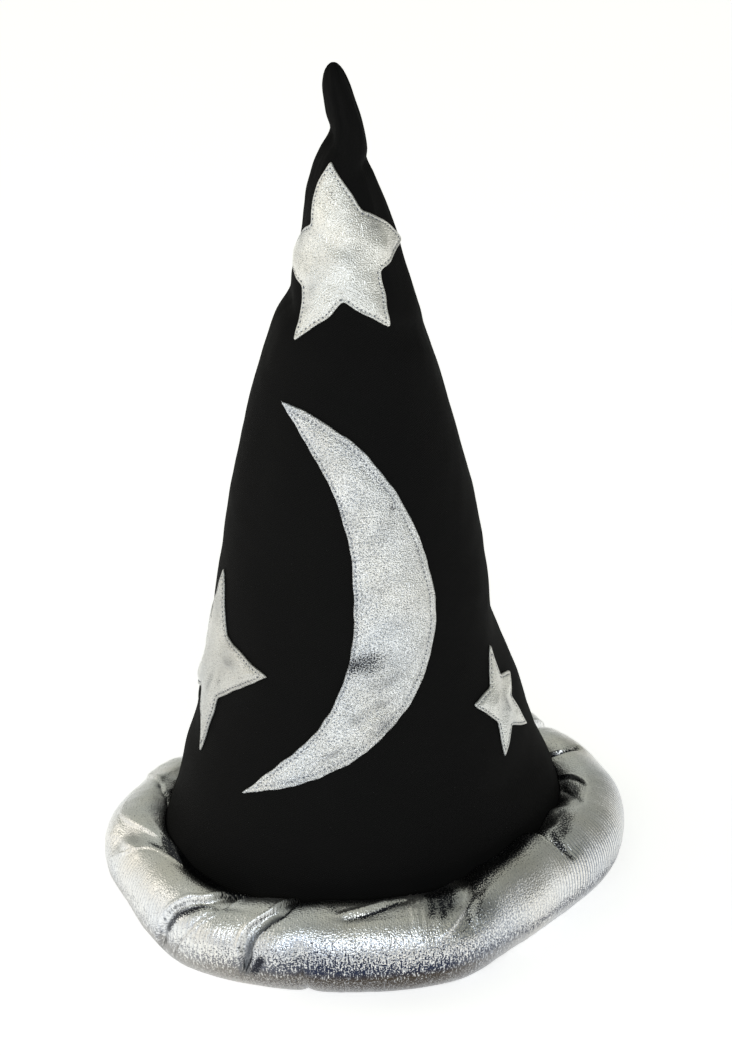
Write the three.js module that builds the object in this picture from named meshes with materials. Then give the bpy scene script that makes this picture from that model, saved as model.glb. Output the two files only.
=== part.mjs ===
// A costume wizard hat: a tall cone of black cotton cloth that narrows to a kinked peak, a stuffed roll of
// silver lamé sewn round its hem, and three stars and a crescent moon of padded lamé sewn on the cone.
// Millimetres, +Z up. The hat stands on its roll, and the origin is on the floor under its middle.
// A bearing is an angle round the hat in degrees: 0 at the front, which faces -Y, and 90 at +X.

import * as THREE from 'three';

// Driving dimensions
const CLOTH = 2;             // wall of the crown: the cloth with its interfacing
const SEAM_GAP = 0.4;        // clearance between two pieces that are sewn together
const ROLL_SECTION = 35;     // how thick the roll is across, where nothing squeezes it
const ROLL_SAG = 2;          // how far the roll's own weight flattens it on the floor
const GATHER_FADE = 20;      // degrees round the roll's section in which a gather starts or ends
const PATCH_EDGE = 0.8;      // stitched edge of a lamé shape
const PATCH_CROWN = 1.6;     // how far its padded middle stands above that edge
const PEAK_INSIDE = 384;     // where the hollow inside the peak ends

// How finely the soft forms are faceted
const CROWN_SIDES = 40;
const CROWN_STEP = 14;       // tallest facet on the crown's outside
const ROLL_STATIONS = 116;
const ROLL_SIDES = 14;
const STAR_BEND = 9;         // degrees round the crown between a star's rings
const STAR_STEPS = 3;        // fewest steps along each edge of an arm
const STAR_RINGS_A_STEP = 4; // a star with more rings than this for each step has more steps
const MOON_SLICES = 26;      // from horn to horn
const MOON_STEPS = 5;        // across

// The crown's outer surface, a row for each section: half its width, half its depth from front to back,
// how far its middle lies to the right of the origin and behind it, and how far the section is drawn out
// into an oval towards the front left and the back right.
const CROWN_SECTIONS = [
  { height: 3,   width: 95,   depth: 96,   right: 0,     back: 0,   oval: 5.5 },
  { height: 20,  width: 96,   depth: 97,   right: 0,     back: 0,   oval: 5.5 },
  { height: 36,  width: 94,   depth: 95,   right: 0,     back: 0,   oval: 5 },
  { height: 50,  width: 90,   depth: 91.5, right: 0,     back: 0,   oval: 4.4 },
  { height: 66,  width: 85,   depth: 87,   right: -2,    back: 0,   oval: 3.6 },
  { height: 82,  width: 80.5, depth: 82.5, right: -2.8,  back: 0,   oval: 2.8 },
  { height: 100, width: 75.5, depth: 78,   right: -3.2,  back: 0,   oval: 2 },
  { height: 120, width: 70.2, depth: 73,   right: -5.2,  back: 0,   oval: 1.2 },
  { height: 140, width: 66,   depth: 68.5, right: -6.4,  back: 0,   oval: 0.6 },
  { height: 160, width: 62.8, depth: 64,   right: -6,    back: 0,   oval: 0 },
  { height: 200, width: 55.6, depth: 55.5, right: -6.9,  back: 1,   oval: 0 },
  { height: 240, width: 46,   depth: 46,   right: -7.9,  back: 2,   oval: 0 },
  { height: 270, width: 37,   depth: 38,   right: -7.9,  back: 2.5, oval: 0 },
  { height: 282, width: 33,   depth: 34,   right: -7.6,  back: 2.5, oval: 0 },
  { height: 292, width: 28.8, depth: 30.5, right: -6.6,  back: 2.5, oval: 0 },
  { height: 306, width: 24.8, depth: 26,   right: -7.2,  back: 3,   oval: 0 },
  { height: 322, width: 20.6, depth: 21.5, right: -8,    back: 3.5, oval: 0 },
  { height: 338, width: 16.6, depth: 18,   right: -9.9,  back: 4,   oval: 0 },
  { height: 350, width: 12.6, depth: 14.5, right: -10.5, back: 4,   oval: 0 },
  { height: 358, width: 10.2, depth: 12,   right: -9.5,  back: 4,   oval: 0 },
  { height: 366, width: 7.8,  depth: 9.5,  right: -8.4,  back: 4,   oval: 0 },
  { height: 374, width: 7,    depth: 8.5,  right: -10.2, back: 4.5, oval: 0 },
  { height: 384, width: 6,    depth: 7,    right: -12.6, back: 5,   oval: 0 },
  { height: 390, width: 4.4,  depth: 5.4,  right: -13.6, back: 5,   oval: 0 },
  { height: 393, width: 2.8,  depth: 3.4,  right: -14,   back: 5,   oval: 0 },
  { height: 395, width: 0.8,  depth: 0.8,  right: -14.2, back: 5,   oval: 0 },
];

// Dents and folds in the crown: where each is deepest, how many degrees it reaches to either side, how
// far it reaches up and down, how deep it is, and how far it climbs for each degree to the right.
const CROWN_DENTS = [
  { bearing: -60,  height: 363, reach: 70, tall: 7,  depth: 1.6, climb: -0.08 },
  { bearing: 70,   height: 352, reach: 60, tall: 6,  depth: 1.4, climb: 0.05 },
  { bearing: 60,   height: 278, reach: 70, tall: 12, depth: 1.8, climb: -0.12 },
  { bearing: -75,  height: 291, reach: 45, tall: 9,  depth: 1.8, climb: -0.1 },
  { bearing: -80,  height: 84,  reach: 30, tall: 14, depth: 1.8, climb: 0.1 },
  { bearing: -88,  height: 128, reach: 34, tall: 26, depth: 2.2, climb: 0 },
  { bearing: 96,   height: 132, reach: 40, tall: 24, depth: 1.6, climb: 0.1 },
  { bearing: 62,   height: 66,  reach: 28, tall: 16, depth: 2.5, climb: -0.2 },
  { bearing: 150,  height: 150, reach: 35, tall: 40, depth: 2.5, climb: 0.4 },
  { bearing: -150, height: 215, reach: 40, tall: 28, depth: 2,   climb: -0.3 },
  { bearing: 172,  height: 302, reach: 50, tall: 12, depth: 1.6, climb: 0.1 },
];

// The stuffed roll, a row for each place round the hat: how far from the hat's axis it reaches, and how
// high.
const ROLL_SECTIONS = [
  { bearing: -180, reach: 127,   top: 42 },
  { bearing: -160, reach: 121,   top: 41 },
  { bearing: -140, reach: 115,   top: 40 },
  { bearing: -120, reach: 110,   top: 38 },
  { bearing: -100, reach: 117.5, top: 39 },
  { bearing: -80,  reach: 128.2, top: 41 },
  { bearing: -60,  reach: 128.3, top: 40 },
  { bearing: -40,  reach: 136,   top: 40 },
  { bearing: -20,  reach: 131,   top: 41 },
  { bearing: 0,    reach: 127,   top: 42 },
  { bearing: 20,   reach: 125.5, top: 43 },
  { bearing: 40,   reach: 116,   top: 46 },
  { bearing: 60,   reach: 117,   top: 46 },
  { bearing: 80,   reach: 124.5, top: 42 },
  { bearing: 100,  reach: 127.6, top: 42 },
  { bearing: 120,  reach: 125,   top: 42 },
  { bearing: 140,  reach: 126,   top: 42 },
  { bearing: 160,  reach: 128,   top: 42 },
];

// The roll's gathers, where its cover is pinched in to the seam: bearing of the fold at the top of the
// roll, how many degrees further round it is on the outside, how deep and wide it is, and between which
// turns round the roll's section it runs. A turn is 0 on the outside, 90 at the top and 180 against the
// crown.
const GATHERS = [
  { bearing: -19,  slant: -9,  depth: 7.5, width: 5,   from: -40, to: 130 },
  { bearing: -24,  slant: -22, depth: 7,   width: 5.5, from: -30, to: 150 },
  { bearing: -56,  slant: -14, depth: 6,   width: 5,   from: 30,  to: 160 },
  { bearing: -68,  slant: -16, depth: 4,   width: 5.5, from: 20,  to: 160 },
  { bearing: -94,  slant: -6,  depth: 5,   width: 5.5, from: 40,  to: 165 },
  { bearing: -115, slant: 8,   depth: 6,   width: 6,   from: 10,  to: 160 },
  { bearing: -139, slant: -8,  depth: 6,   width: 6,   from: -10, to: 155 },
  { bearing: -163, slant: 10,  depth: 6,   width: 6,   from: 0,   to: 155 },
  { bearing: 172,  slant: -9,  depth: 6,   width: 6,   from: -20, to: 155 },
  { bearing: 149,  slant: 8,   depth: 6,   width: 6,   from: 10,  to: 155 },
  { bearing: 127,  slant: -6,  depth: 5,   width: 5.5, from: 10,  to: 155 },
  { bearing: 109,  slant: -5,  depth: 6,   width: 5,   from: 50,  to: 160 },
  { bearing: 90,   slant: -10, depth: 6.5, width: 5.5, from: 70,  to: 160 },
  { bearing: 58,   slant: -3,  depth: 6.5, width: 5,   from: 40,  to: 160 },
  { bearing: 25,   slant: -2,  depth: 6.5, width: 5,   from: 20,  to: 150 },
  { bearing: 13,   slant: -1,  depth: 3.5, width: 4.5, from: 40,  to: 140 },
  { bearing: 4,    slant: -22, depth: 4,   width: 5,   from: 55,  to: 130 },
];

// The stars' outlines in the flat cloth, clockwise from the top: the clock angle and reach of each arm's
// tip, and of the notch after it. A star's middle is at a bearing and height, and the cloth's slope is
// that of the crown.
const STARS = [
  {
    name: 'star_upper', bearing: -5.8, height: 317.6, slope: 12.5,
    arms: [
      { tip: -7,  reach: 39,   notch: 30,  waist: 20.5 },
      { tip: 80,  reach: 34,   notch: 115, waist: 18 },
      { tip: 147, reach: 38.5, notch: 181, waist: 21 },
      { tip: 207, reach: 44,   notch: 232, waist: 25 },
      { tip: 268, reach: 40,   notch: 308, waist: 19 },
    ],
  },
  {
    name: 'star_left', bearing: -70.2, height: 122.7, slope: 12,
    arms: [
      { tip: -3,  reach: 45,   notch: 35,  waist: 22 },
      { tip: 75,  reach: 45,   notch: 134, waist: 19 },
      { tip: 168, reach: 44,   notch: 200, waist: 19 },
      { tip: 232, reach: 44,   notch: 263, waist: 20 },
      { tip: 295, reach: 44,   notch: 326, waist: 20 },
    ],
  },
  {
    name: 'star_right', bearing: 65, height: 105, slope: 14,
    arms: [
      { tip: 10,  reach: 27,   notch: 40,  waist: 12 },
      { tip: 76,  reach: 22,   notch: 106, waist: 12 },
      { tip: 136, reach: 32,   notch: 168, waist: 15 },
      { tip: 200, reach: 27.5, notch: 228, waist: 11 },
      { tip: 289, reach: 22,   notch: 328, waist: 11 },
    ],
  },
];

// The moon in the flat cloth. Its horns' tips are placed across and up from its middle. Each section runs
// over it from its inner to its outer edge: how far down the line between the tips each end of the
// section is, as a share of the line, and how far out from it.
const MOON = {
  name: 'crescent_moon', bearing: 15.7, height: 165, slope: 12,
  topTip: new THREE.Vector2(-45.4, 94.6),
  bottomTip: new THREE.Vector2(-77.2, -83.5),
  sections: [
    { order: 0,  innerDown: 0,     innerOut: 0,    outerDown: 0,     outerOut: 0 },
    { order: 1,  innerDown: 0.04,  innerOut: 9,    outerDown: 0.02,  outerOut: 20 },
    { order: 2,  innerDown: 0.11,  innerOut: 20.5, outerDown: 0.08,  outerOut: 40.4 },
    { order: 3,  innerDown: 0.2,   innerOut: 31.3, outerDown: 0.18,  outerOut: 58.5 },
    { order: 4,  innerDown: 0.3,   innerOut: 39,   outerDown: 0.3,   outerOut: 73 },
    { order: 5,  innerDown: 0.4,   innerOut: 43.2, outerDown: 0.43,  outerOut: 82.3 },
    { order: 6,  innerDown: 0.5,   innerOut: 45.4, outerDown: 0.56,  outerOut: 85.3 },
    { order: 7,  innerDown: 0.6,   innerOut: 46,   outerDown: 0.68,  outerOut: 78.3 },
    { order: 8,  innerDown: 0.7,   innerOut: 42.2, outerDown: 0.78,  outerOut: 65 },
    { order: 9,  innerDown: 0.8,   innerOut: 32.5, outerDown: 0.87,  outerOut: 47.5 },
    { order: 10, innerDown: 0.9,   innerOut: 16.5, outerDown: 0.945, outerOut: 25 },
    { order: 11, innerDown: 1,     innerOut: 0,    outerDown: 1,     outerOut: 0 },
  ],
};

const turn = (degrees) => THREE.MathUtils.degToRad(degrees);

// A bell that is 1 at zero and falls to nothing past about 1.
const bell = (t) => Math.exp(-3 * t * t);

// The signed angle from one bearing to another, the short way round.
const angleBetween = (from, to) => THREE.MathUtils.euclideanModulo(to - from + 180, 360) - 180;

// A smooth curve through one column of a table, whose rows are placed by another of its columns.
function smoothValue(rows, place, column, at) {
  const last = rows.length - 1;
  let i = 0;
  while (i < last - 1 && at > rows[i + 1][place]) i += 1;
  const nearest = [Math.max(i - 1, 0), i, i + 1, Math.min(i + 2, last)];
  const [before, low, high, after] = nearest.map((k) => rows[k]);
  const span = high[place] - low[place];
  const t = THREE.MathUtils.clamp((at - low[place]) / span, 0, 1);
  const startSlope = (high[column] - before[column]) / (high[place] - before[place]) * span;
  const endSlope = (after[column] - low[column]) / (after[place] - low[place]) * span;
  return low[column] * (2 * t ** 3 - 3 * t ** 2 + 1) + startSlope * (t ** 3 - 2 * t ** 2 + t)
    + high[column] * (3 * t ** 2 - 2 * t ** 3) + endSlope * (t ** 3 - t ** 2);
}

const crownValue = (column, height) => smoothValue(CROWN_SECTIONS, 'height', column, height);

// The roll's table goes on past both its ends, so that its curve closes round the hat.
const rollLoop = [-360, 0, 360].flatMap((whole) => (
  ROLL_SECTIONS.map((row) => ({ ...row, bearing: row.bearing + whole }))
));
const rollValue = (column, bearing) => smoothValue(rollLoop, 'bearing', column, bearing);

function dentDepth(bearing, height) {
  return CROWN_DENTS.reduce((depth, dent) => {
    const round = angleBetween(dent.bearing, bearing);
    const up = height - dent.height - dent.climb * round;
    return depth + dent.depth * bell(round / dent.reach) * bell(up / dent.tall);
  }, 0);
}

// A point on the crown's outer surface, or lifted off it.
function crownPoint(bearing, height, lift = 0) {
  const out = lift - dentDepth(bearing, height) - crownValue('oval', height) * Math.sin(turn(2 * bearing));
  return new THREE.Vector3(
    crownValue('right', height) + (crownValue('width', height) + out) * Math.sin(turn(bearing)),
    crownValue('back', height) - (crownValue('depth', height) + out) * Math.cos(turn(bearing)),
    height,
  );
}

// Distance from the hat's axis to the crown's outer surface.
function crownReach(bearing, height) {
  const point = crownPoint(bearing, height);
  return Math.hypot(point.x, point.y);
}

// A closed mesh through rings of equal length. Ends are points that close the first and last ring, and
// with no ends the last ring joins the first.
function meshThrough(rings, ends) {
  const sides = rings[0].length;
  const points = rings.flat();
  const faces = [];
  const strips = ends ? rings.length - 1 : rings.length;
  for (let i = 0; i < strips; i += 1) {
    const ring = i * sides;
    const next = ((i + 1) % rings.length) * sides;
    for (let j = 0; j < sides; j += 1) {
      const k = (j + 1) % sides;
      faces.push(ring + j, next + k, ring + k, ring + j, next + j, next + k);
    }
  }
  if (ends) {
    const first = points.length;
    const lastRing = (rings.length - 1) * sides;
    points.push(...ends);
    for (let j = 0; j < sides; j += 1) {
      const k = (j + 1) % sides;
      faces.push(first, j, k, first + 1, lastRing + k, lastRing + j);
    }
  }
  const geometry = new THREE.BufferGeometry().setFromPoints(points);
  geometry.setIndex(faces);
  geometry.computeVertexNormals();
  return geometry;
}

// Bearings that go once round the hat.
const bearingsOf = (count) => Array.from({ length: count }, (_, i) => (360 * i) / count - 180);

const black = new THREE.MeshStandardMaterial({ color: 0x121212, roughness: 0.95, metalness: 0 });
const silver = new THREE.MeshStandardMaterial({ color: 0xc4c4bd, roughness: 0.35, metalness: 1 });

function named(name, geometry, material) {
  const mesh = new THREE.Mesh(geometry, material);
  mesh.name = name;
  return mesh;
}

// Heights of the crown's sections, with more between rows that lie far apart.
function crownHeights(step) {
  return CROWN_SECTIONS.slice(0, -1).flatMap((row, i) => {
    const span = CROWN_SECTIONS[i + 1].height - row.height;
    const parts = Math.ceil(span / step);
    return Array.from({ length: parts }, (_, k) => row.height + (span * k) / parts);
  });
}

// The crown is one skin: from the peak down its outside to the hem, and back up its inside.
function crown() {
  const bearings = bearingsOf(CROWN_SIDES);
  const ringAt = (height, lift) => bearings.map((bearing) => crownPoint(bearing, height, lift));
  const outside = crownHeights(CROWN_STEP).reverse().map((height) => ringAt(height, 0));
  const inside = CROWN_SECTIONS.filter((row) => row.height < PEAK_INSIDE)
    .map((row) => ringAt(row.height, -CLOTH));
  const tip = CROWN_SECTIONS.at(-1);
  const ends = [
    new THREE.Vector3(tip.right, tip.back, tip.height),
    crownPoint(0, PEAK_INSIDE, -crownValue('depth', PEAK_INSIDE)),
  ];
  return named('crown', meshThrough([...outside, ...inside], ends), black);
}

// How far a gather draws the roll's cover in at a turn of its section.
function gatherDepth(bearing, sectionTurn) {
  const past = (start) => (
    THREE.MathUtils.smoothstep(sectionTurn, start - GATHER_FADE, start + GATHER_FADE)
  );
  return GATHERS.reduce((depth, gather) => {
    const middle = gather.bearing + gather.slant * (1 - sectionTurn / 90);
    const along = past(gather.from) * (1 - past(gather.to));
    return depth + gather.depth * along * bell(angleBetween(middle, bearing) / gather.width);
  }, 0);
}

// The roll is stuffed: a round section that sags flat on the floor and is pressed flat against the crown.
function brimRoll() {
  const halfWidth = ROLL_SECTION / 2;
  const rings = bearingsOf(ROLL_STATIONS).map((bearing) => {
    const middle = rollValue('reach', bearing) - halfWidth;
    const halfHeight = (rollValue('top', bearing) + ROLL_SAG) / 2;
    const ring = [];
    for (let i = 0; i < ROLL_SIDES; i += 1) {
      const sectionTurn = (360 * (i + 0.5)) / ROLL_SIDES - 90;
      const shrink = 1 - gatherDepth(bearing, sectionTurn) / halfHeight;
      const height = Math.max(0, halfHeight - ROLL_SAG + shrink * halfHeight * Math.sin(turn(sectionTurn)));
      const reach = middle + shrink * halfWidth * Math.cos(turn(sectionTurn));
      const out = Math.max(reach, crownReach(bearing, height) + SEAM_GAP);
      ring.push(new THREE.Vector3(out * Math.sin(turn(bearing)), -out * Math.cos(turn(bearing)), height));
    }
    return ring;
  });
  return named('brim_roll', meshThrough(rings), silver);
}

// Lays flat cloth on the crown: a point across and up from the patch's middle goes where it lies once the
// cloth is wrapped round the cone, lifted off the crown.
function wrapped(patch, flat, lift) {
  const slope = turn(patch.slope);
  const apex = crownValue('width', patch.height) / Math.sin(slope);
  const fromApex = Math.hypot(flat.x, apex - flat.y);
  const round = Math.atan2(flat.x, apex - flat.y) / Math.sin(slope);
  return crownPoint(
    patch.bearing + THREE.MathUtils.radToDeg(round),
    patch.height + (apex - fromApex) * Math.cos(slope),
    lift,
  );
}

// Height of a padded patch over the crown, from its middle at 0 to its stitched edge at 1.
const patchLift = (toEdge) => SEAM_GAP + PATCH_EDGE + PATCH_CROWN * (1 - toEdge ** 3);

// A point in the flat cloth at a clock angle from straight up, and a distance.
const clockPoint = (clock, reach) => (
  new THREE.Vector2(0, reach).rotateAround(new THREE.Vector2(), -turn(clock))
);

// A star's flat outline, with straight edges between its tips and notches.
function starOutline(arms, steps) {
  const corners = arms.flatMap((arm) => (
    [clockPoint(arm.tip, arm.reach), clockPoint(arm.notch, arm.waist)]
  ));
  return corners.flatMap((corner, i) => {
    const next = corners[(i + 1) % corners.length];
    return Array.from({ length: steps }, (_, k) => corner.clone().lerp(next, k / steps));
  });
}

// A star is one skin: rings from the middle of its back out to the edge, and in again over its padded
// face.
function star(pattern) {
  const reach = Math.max(...pattern.arms.map((arm) => arm.reach));
  const rings = Math.ceil(reach / (crownValue('width', pattern.height) * turn(STAR_BEND)));
  const outline = starOutline(pattern.arms, Math.max(STAR_STEPS, Math.ceil(rings / STAR_RINGS_A_STEP)));
  const ringAt = (size, lift) => (
    outline.map((flat) => wrapped(pattern, flat.clone().multiplyScalar(size), lift))
  );
  const sizes = Array.from({ length: rings }, (_, i) => (i + 1) / rings);
  const back = sizes.map((size) => ringAt(size, SEAM_GAP));
  const face = sizes.map((size) => ringAt(size, patchLift(size))).reverse();
  const middle = new THREE.Vector2();
  const ends = [wrapped(pattern, middle, SEAM_GAP), wrapped(pattern, middle, patchLift(0))];
  return named(pattern.name, meshThrough([...back, ...face], ends), silver);
}

// A point on the moon's inner or outer edge.
function moonEdge(moon, side, order) {
  const down = moon.bottomTip.clone().sub(moon.topTip);
  const out = new THREE.Vector2(-down.y, down.x).normalize();
  return moon.topTip.clone()
    .addScaledVector(down, smoothValue(moon.sections, 'order', `${side}Down`, order))
    .addScaledVector(out, smoothValue(moon.sections, 'order', `${side}Out`, order));
}

// The moon is one skin through slices across it, each going over its padded face and back under it.
function crescentMoon(moon) {
  const slices = [];
  const steps = Array.from({ length: MOON_STEPS + 1 }, (_, k) => k / MOON_STEPS);
  for (let i = 1; i < MOON_SLICES; i += 1) {
    const along = i / MOON_SLICES;
    const inner = moonEdge(moon, 'inner', along * (moon.sections.length - 1));
    const outer = moonEdge(moon, 'outer', along * (moon.sections.length - 1));
    const flat = steps.map((t) => inner.clone().lerp(outer, t));
    const padding = Math.sin(Math.PI * along);
    const face = flat.map((point, k) => (
      wrapped(moon, point, patchLift(Math.max(Math.abs(2 * steps[k] - 1), 1 - padding)))
    ));
    const back = flat.map((point) => wrapped(moon, point, SEAM_GAP)).reverse();
    slices.push([...face, ...back]);
  }
  const tipLift = SEAM_GAP + PATCH_EDGE / 2;
  const ends = [wrapped(moon, moon.topTip, tipLift), wrapped(moon, moon.bottomTip, tipLift)];
  return named(moon.name, meshThrough(slices, ends), silver);
}

export default new THREE.Group().add(crown(), brimRoll(), crescentMoon(MOON), ...STARS.map(star));
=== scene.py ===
import math

import bmesh
import bpy
import numpy as np
from mathutils import Matrix, Vector, kdtree
from mathutils.geometry import delaunay_2d_cdt


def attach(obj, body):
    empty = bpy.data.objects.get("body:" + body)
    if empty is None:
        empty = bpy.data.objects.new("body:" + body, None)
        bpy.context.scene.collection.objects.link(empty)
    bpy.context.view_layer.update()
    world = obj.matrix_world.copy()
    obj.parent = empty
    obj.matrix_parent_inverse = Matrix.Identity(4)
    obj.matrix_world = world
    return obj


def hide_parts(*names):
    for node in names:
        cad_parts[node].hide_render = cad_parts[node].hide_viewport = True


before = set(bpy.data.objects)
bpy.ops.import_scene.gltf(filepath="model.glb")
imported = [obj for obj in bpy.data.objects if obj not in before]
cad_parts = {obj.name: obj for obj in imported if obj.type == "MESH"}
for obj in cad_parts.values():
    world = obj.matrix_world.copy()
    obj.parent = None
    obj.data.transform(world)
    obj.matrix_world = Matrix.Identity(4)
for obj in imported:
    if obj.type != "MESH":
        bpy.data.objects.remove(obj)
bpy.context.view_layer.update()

# Sizes are in millimetres until a piece is finished. A bearing is an angle round the hat in degrees: 0 at
# the front, which faces -Y, and 90 at +X. A turn is an angle round the roll's section: 0 on the outside,
# 90 at the top, 180 against the crown.
toMetres = 0.001

crownShape = {
    "cloth": 2.0,
    "hollowTop": 384,
    "around": 288,
    "rowStep": 1.7,
    "insideStep": 9.0,
    "slope": 12.5,       # how steep the cut cone is, for the run of the weave
    "apex": 452,
    "meanReach": 60,
    "edgeRows": 7,       # how many rows go round the hem's folded edge
    # height, half width, half depth, right, back, how far drawn out to the front left and back right
    "sections": [
        (3, 95, 96, 0, 0, 5.5),
        (20, 96, 97, 0, 0, 5.5),
        (36, 94, 95, 0, 0, 5),
        (50, 90, 91.5, 0, 0, 4.4),
        (66, 85, 87, -2, 0, 3.6),
        (82, 80.5, 82.5, -2.8, 0, 2.8),
        (100, 75.5, 78, -3.2, 0, 2),
        (120, 70.2, 73, -5.2, 0, 1.2),
        (140, 66, 68.5, -6.4, 0, 0.6),
        (160, 62.8, 64, -6, 0, 0),
        (200, 55.6, 55.5, -6.9, 1, 0),
        (240, 46, 46, -7.9, 2, 0),
        (270, 37, 38, -7.9, 2.5, 0),
        (282, 33, 34, -7.6, 2.5, 0),
        (292, 28.8, 30.5, -6.6, 2.5, 0),
        (306, 24.8, 26, -7.2, 3, 0),
        (322, 20.6, 21.5, -8, 3.5, 0),
        (338, 16.6, 18, -9.9, 4, 0),
        (350, 12.6, 14.5, -10.5, 4, 0),
        (358, 10.2, 12, -9.5, 4, 0),
        (366, 7.8, 9.5, -8.4, 4, 0),
        (374, 7, 8.5, -10.2, 4.5, 0),
        (384, 6, 7, -12.6, 5, 0),
        (390, 4.4, 5.4, -13.6, 5, 0),
        (393, 2.8, 3.4, -14, 5, 0),
        (395, 0.8, 0.8, -14.2, 5, 0),
    ],
    # bearing, height, degrees to either side, height up and down, depth, climb for each degree
    "dents": [
        (-60, 363, 70, 7, 1.6, -0.08),
        (70, 352, 60, 6, 1.4, 0.05),
        (60, 278, 70, 12, 1.8, -0.12),
        (-75, 291, 45, 9, 1.8, -0.1),
        (-62, 34, 30, 16, -5, 0),
        (-80, 84, 30, 14, 1.8, 0.1),
        (-88, 128, 34, 26, 2.2, 0),
        (96, 132, 40, 24, 1.6, 0.1),
        (62, 66, 28, 16, 2.5, -0.2),
        (150, 150, 35, 40, 2.5, 0.4),
        (-150, 215, 40, 28, 2, -0.3),
        (172, 302, 50, 12, 1.6, 0.1),
    ],
    # the sharp line at the bottom of a fold: bearing, height, degrees to either side, width, depth, climb
    "creases": [
        (-40, 360, 60, 1.6, 0.7, -0.1),
        (66, 351, 60, 1.8, 0.7, 0.06),
        (48, 283, 60, 2.2, 0.7, -0.14),
        (-70, 289, 45, 2.0, 0.9, -0.12),
        (-84, 92, 34, 2.6, 0.8, 0.22),
        (70, 62, 30, 3.0, 0.9, -0.3),
        (30, 60, 26, 3.0, 0.5, 0.25),
        (-20, 50, 24, 3.0, 0.4, -0.2),
        (160, 150, 35, 3.0, 0.8, 0.5),
        (-140, 215, 40, 2.6, 0.8, -0.35),
        (172, 300, 50, 2.2, 0.8, 0.1),
    ],
    # the unevenness of the cloth: how high, how much flatter up the crown, size, seed
    "waves": [(0.35, 0.7, 46, 3), (0.1, 1, 17, 5)],
}


def smoothCurve(at, places, values):
    # A smooth curve through a column of a table, the one that the solid model has too.
    places, values = np.asarray(places, float), np.asarray(values, float)
    last = len(places) - 1
    low = np.clip(np.searchsorted(places, at) - 1, 0, last - 1)
    before, high, after = np.maximum(low - 1, 0), low + 1, np.minimum(low + 2, last)
    span = places[high] - places[low]
    t = np.clip((at - places[low]) / span, 0, 1)
    leaving = (values[high] - values[before]) / (places[high] - places[before]) * span
    arriving = (values[after] - values[low]) / (places[after] - places[low]) * span
    return (values[low] * (2 * t**3 - 3 * t**2 + 1) + leaving * (t**3 - 2 * t**2 + t)
            + values[high] * (3 * t**2 - 2 * t**3) + arriving * (t**3 - t**2))


def smoothStep(value, start, end):
    t = np.clip((value - start) / (end - start), 0, 1)
    return t * t * (3 - 2 * t)


def bell(t):
    return np.exp(-3 * t * t)


def angleBetween(start, end):
    return (end - start + 180) % 360 - 180


def softNoise(x, y, size, seed, waves=14):
    # Smooth unevenness with lumps of about one size, between about -1 and 1.
    draw = np.random.default_rng(seed)
    total = np.zeros_like(x, float)
    for _ in range(waves):
        heading = draw.uniform(0, 2 * math.pi)
        rate = 2 * math.pi / (size * draw.uniform(0.7, 1.6))
        total += np.sin((x * math.cos(heading) + y * math.sin(heading)) * rate + draw.uniform(0, 2 * math.pi))
    return total / math.sqrt(waves)


def wavyCloth(x, y, waves):
    return sum(high * softNoise(x, y * stretch, size, seed) for high, stretch, size, seed in waves)


def crownColumn(column, height):
    rows = np.array(crownShape["sections"], float)
    return smoothCurve(height, rows[:, 0], rows[:, column])


def dentDepth(bearing, height):
    depth = 0.0
    for middle, level, reach, tall, deep, climb in crownShape["dents"]:
        around = angleBetween(middle, bearing)
        depth = depth + deep * bell(around / reach) * bell((height - level - climb * around) / tall)
    return depth


def crownPoint(bearing, height, lift=0.0, size=1.0):
    # A point on the crown's outside, lifted off it.
    angle = np.radians(bearing)
    out = lift - dentDepth(bearing, height) - crownColumn(5, height) * np.sin(2 * angle)
    return np.stack([
        crownColumn(3, height) + size * (crownColumn(1, height) + out) * np.sin(angle),
        crownColumn(4, height) - size * (crownColumn(2, height) + out) * np.cos(angle),
        height + 0 * angle,
    ], axis=-1)


def crownReach(bearing, height):
    point = crownPoint(bearing, height)
    return np.hypot(point[..., 0], point[..., 1])


def clothCreases(bearing, height):
    # Fine folds of the crown's cloth, which the solid model leaves plain.
    depth = 0.0
    for middle, level, reach, width, deep, climb in crownShape["creases"]:
        around = angleBetween(middle, bearing)
        away = np.abs(height - level - climb * around)
        depth = depth + deep * bell(around / reach) * np.exp(-away / width)
    girth = np.radians(bearing) * crownShape["meanReach"]
    wavy = wavyCloth(girth, height, crownShape["waves"])
    return wavy * smoothStep(height, 2, 30) - depth


def flatSheet(across, up):
    # A flat sheet from 0 to 1 each way, with a map of its own.
    sheet = bmesh.new()
    sheet.loops.layers.uv.new("cloth")
    bmesh.ops.create_grid(sheet, x_segments=across, y_segments=up, size=0.5, calc_uvs=True)
    bmesh.ops.translate(sheet, verts=sheet.verts, vec=(0.5, 0.5, 0))
    return sheet


def sheetPlaces(sheet):
    return np.array([vert.co[:] for vert in sheet.verts])


def moveTo(sheet, points):
    for vert, point in zip(sheet.verts, points):
        vert.co = point


def setMap(sheet, mapped):
    # Gives the cloth's map real sizes, from each corner's place in the flat sheet.
    layer = sheet.loops.layers.uv["cloth"]
    for face in sheet.faces:
        for loop in face.loops:
            loop[layer].uv = mapped[loop.vert.index]


def finishPiece(mesh, name, material, replaced=()):
    bmesh.ops.scale(mesh, verts=mesh.verts, vec=(toMetres, toMetres, toMetres))
    for face in mesh.faces:
        face.smooth = True
    data = bpy.data.meshes.new(name)
    mesh.to_mesh(data)
    mesh.free()
    data.materials.append(material)
    piece = bpy.data.objects.new(name, data)
    bpy.context.scene.collection.objects.link(piece)
    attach(piece, "root")
    if replaced:
        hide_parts(*replaced)
    print("made", name, "with", len(data.polygons), "faces")
    return piece


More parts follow.
